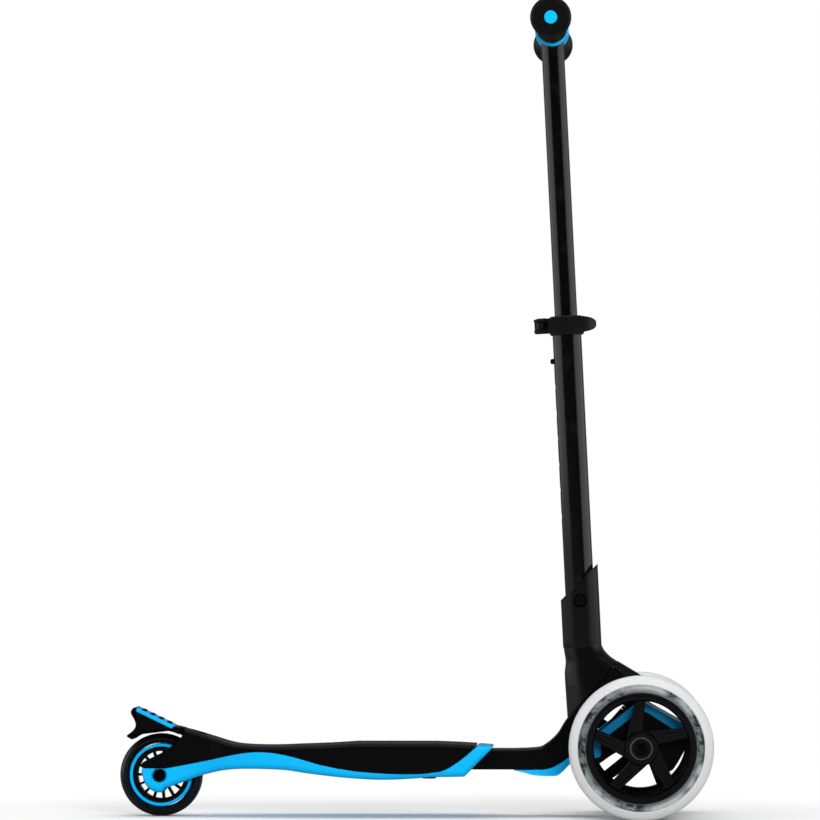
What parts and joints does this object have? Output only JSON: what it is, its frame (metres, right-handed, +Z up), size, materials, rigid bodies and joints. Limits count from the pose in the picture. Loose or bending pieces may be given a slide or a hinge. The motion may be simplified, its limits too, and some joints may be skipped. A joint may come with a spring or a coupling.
{
  "type": "three wheel kids scooter",
  "caption": "Lean-to-steer kids scooter with two large clear front wheels, one small rear wheel, telescoping T handlebar and a stomp brake.",
  "frame": {"origin": "on the ground, under the middle of the bounding box", "axes": "+X forward along the deck, +Y to the rider's left, +Z up"},
  "size_m": [0.5734, 0.28, 0.7813],
  "materials": {
    "black_plastic": "satin moulded nylon",
    "blue_plastic": "glossy moulded blue",
    "black_paint": "gloss black powder coat on aluminium tube",
    "black_rubber": "soft matte rubber",
    "black_tyre": "glossy cast polyurethane",
    "clear_tyre": "milky clear cast polyurethane",
    "clear_core": "clear polycarbonate",
    "steel": "bright zinc",
    "dark_steel": "black oxide",
    "elastomer": "soft polyurethane"
  },
  "bodies": {
    "deck": {"deck_top": "black_plastic", "deck_underbody": "blue_plastic", "deck_mat": "black_rubber", "beam_bush_front": "black_rubber", "beam_bush_rear": "black_rubber", "rear_axle_bolt": "dark_steel", "rear_axle_nut": "dark_steel", "brake_pin": "steel", "brake_spring": "steel"},
    "rear_wheel": {"rear_rim": "black_plastic", "rear_rim_ring": "blue_plastic", "rear_tyre": "black_tyre", "rear_bearing_right": "steel", "rear_bearing_left": "steel"},
    "brake": {"brake_fender": "black_plastic", "brake_tread": "blue_plastic"},
    "deck_lock": {"deck_lock_button": "black_plastic"},
    "front_frame": {"front_beam": "black_plastic", "belly_trim": "blue_plastic", "nose_cap": "black_plastic", "kingpin": "steel", "kingpin_nut": "steel", "kingpin_bushing_upper": "elastomer", "kingpin_bushing_lower": "elastomer", "head_bolt_right": "dark_steel", "head_bolt_left": "dark_steel", "head": "black_plastic", "outer_tube": "black_paint", "tube_sleeve": "black_plastic", "clamp_collar": "black_plastic", "clamp_bolt": "steel", "clamp_nut": "dark_steel", "clamp_lever_pin": "steel"},
    "truck": {"truck": "black_plastic", "truck_trim_right": "blue_plastic", "truck_trim_left": "blue_plastic", "front_axle_bolt_right": "dark_steel", "front_axle_bolt_left": "dark_steel"},
    "front_wheel_right": {"front_rim_right": "black_plastic", "light_core_right": "clear_core", "front_tyre_right": "clear_tyre", "front_bearing_outer_right": "steel", "front_bearing_inner_right": "steel"},
    "front_wheel_left": {"front_rim_left": "black_plastic", "light_core_left": "clear_core", "front_tyre_left": "clear_tyre", "front_bearing_outer_left": "steel", "front_bearing_inner_left": "steel"},
    "clamp_lever": {"clamp_lever": "black_plastic"},
    "handlebar": {"inner_tube": "black_paint", "cross_tube": "black_paint", "t_joint": "blue_plastic", "grip_right": "black_rubber", "grip_left": "black_rubber", "bar_plug_right": "blue_plastic", "bar_plug_left": "blue_plastic"},
    "height_button": {"height_button": "black_plastic"},
    "stem_button_right": {"stem_button_right": "dark_steel"},
    "stem_button_left": {"stem_button_left": "dark_steel"}
  },
  "joints": [
    {"name": "rear_wheel_spin", "type": "hinge", "parent": "deck", "child": "rear_wheel", "pos_m": [-0.24665, 0, 0.04], "axis": [0, 1, 0], "continuous": true},
    {"name": "brake_press", "type": "hinge", "parent": "deck", "child": "brake", "pos_m": [-0.21405, 0, 0.077], "axis": [0, -1, 0], "range_deg": [0, 3.5], "stiffness_Nm_per_rad": 1, "springref_deg": -5.73},
    {"name": "deck_lock_press", "type": "slide", "parent": "deck", "child": "deck_lock", "axis": [0, 0, 1], "range_m": [0, 0.003], "stiffness_N_per_m": 300, "springref_m": -0.003},
    {"name": "deck_extension", "type": "slide", "parent": "deck", "child": "front_frame", "axis": [1, 0, 0], "range_m": [-0.036, 0]},
    {"name": "lean_steer", "type": "hinge", "parent": "front_frame", "child": "truck", "pos_m": [0.1975, 0, 0.08682], "axis": [0.6626, 0, 0.749], "range_deg": [-12, 12], "stiffness_Nm_per_rad": 40},
    {"name": "front_wheel_right_spin", "type": "hinge", "parent": "truck", "child": "front_wheel_right", "pos_m": [0.21765, -0.106, 0.069], "axis": [0, 1, 0], "continuous": true},
    {"name": "front_wheel_left_spin", "type": "hinge", "parent": "truck", "child": "front_wheel_left", "pos_m": [0.21765, 0.106, 0.069], "axis": [0, 1, 0], "continuous": true},
    {"name": "clamp_lever_open", "type": "hinge", "parent": "front_frame", "child": "clamp_lever", "pos_m": [0.12152, -0.019, 0.4739], "axis": [0.0485, 0, -0.9988], "range_deg": [0, 110]},
    {"name": "handle_height", "type": "slide", "parent": "front_frame", "child": "handlebar", "axis": [-0.0485, 0, 0.9988], "range_m": [-0.15, 0]},
    {"name": "height_button_press", "type": "slide", "parent": "handlebar", "child": "height_button", "axis": [0.9988, 0, 0.0485], "range_m": [0, 0.0035], "stiffness_N_per_m": 300, "springref_m": -0.003},
    {"name": "stem_button_right_press", "type": "slide", "parent": "front_frame", "child": "stem_button_right", "axis": [0, 1, 0], "range_m": [0, 0.003], "stiffness_N_per_m": 300, "springref_m": -0.003},
    {"name": "stem_button_left_press", "type": "slide", "parent": "front_frame", "child": "stem_button_left", "axis": [0, -1, 0], "range_m": [0, 0.003], "stiffness_N_per_m": 300, "springref_m": -0.003}
  ]
}
